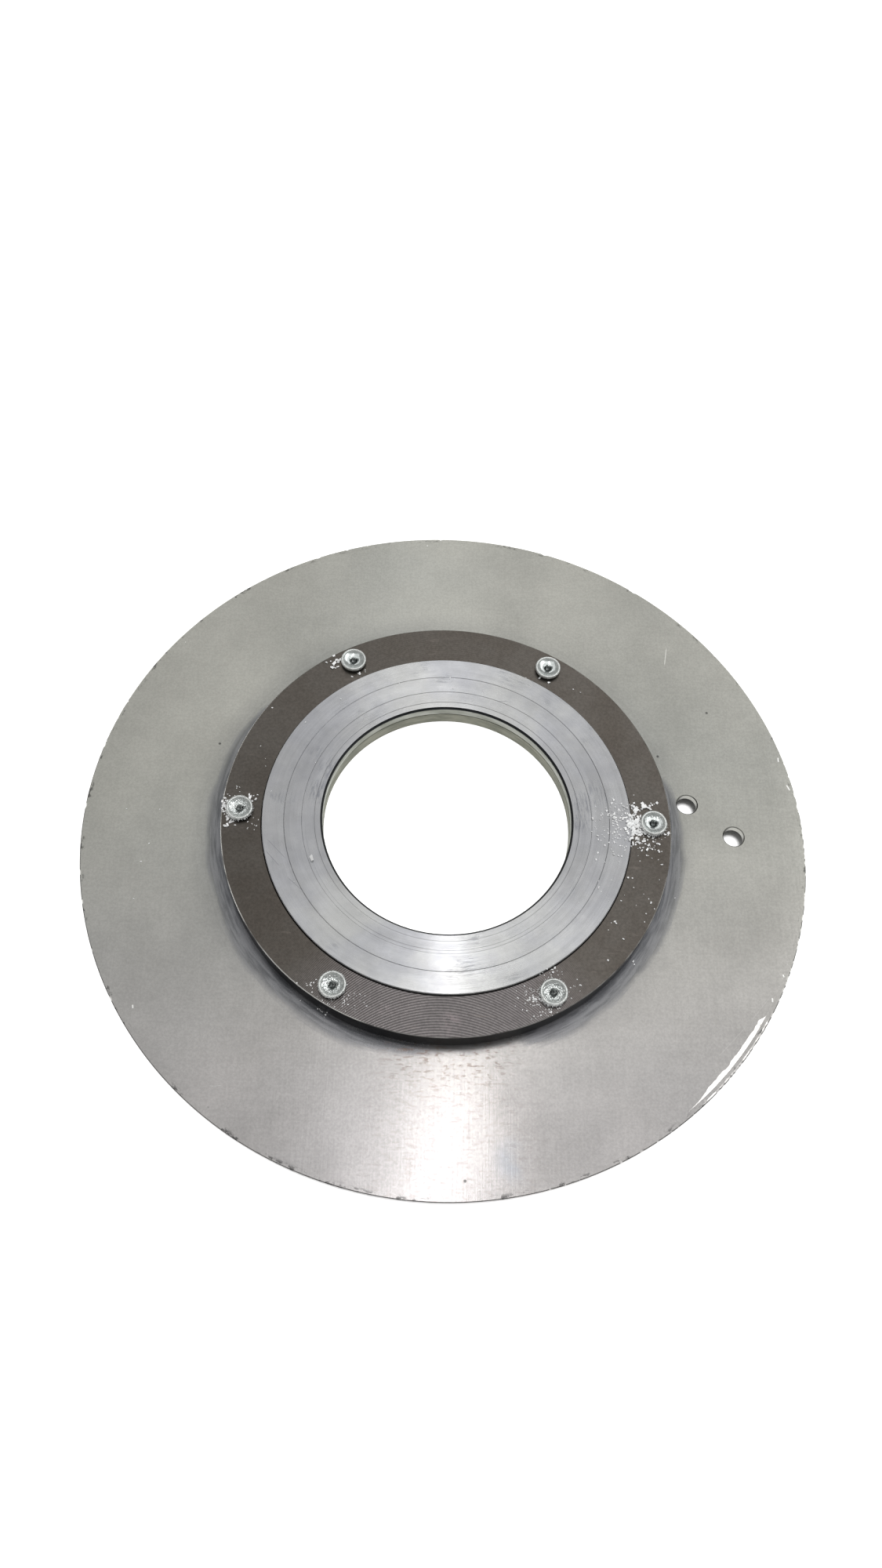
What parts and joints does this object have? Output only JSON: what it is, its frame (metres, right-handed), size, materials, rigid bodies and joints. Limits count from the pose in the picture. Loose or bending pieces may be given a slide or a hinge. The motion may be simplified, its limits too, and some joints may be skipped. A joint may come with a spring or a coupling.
{
  "type": "brake disc rotor",
  "caption": "Round motorcycle brake disc: thin plain steel friction plate riveted between an aluminium hub ring and a black steel clamp ring, with a large central bore.",
  "frame": {"origin": "on the rotor's axis, in the plane of the carrier's flat rear face, which is the lowest face", "axes": "+Z along the rotor's axis towards the front, where the rivets are rolled over; +X through rivet 1; +Y to the left of +X seen from the front"},
  "size_m": [0.28, 0.28, 0.0184],
  "materials": {
    "ground_steel": "ground, satin, with fine tangential scratches",
    "blackened_steel": "chemically blackened, faint fly-cut arcs",
    "turned_aluminium": "turned, with shallow concentric steps",
    "rivet_steel": "bright rolled head, zinc plated"
  },
  "bodies": {
    "root": {"friction_disc": "ground_steel", "clamp_ring": "blackened_steel", "carrier": "turned_aluminium", "rivet_1": "rivet_steel", "rivet_2": "rivet_steel", "rivet_3": "rivet_steel", "rivet_4": "rivet_steel", "rivet_5": "rivet_steel", "rivet_6": "rivet_steel"}
  },
  "joints": []
}
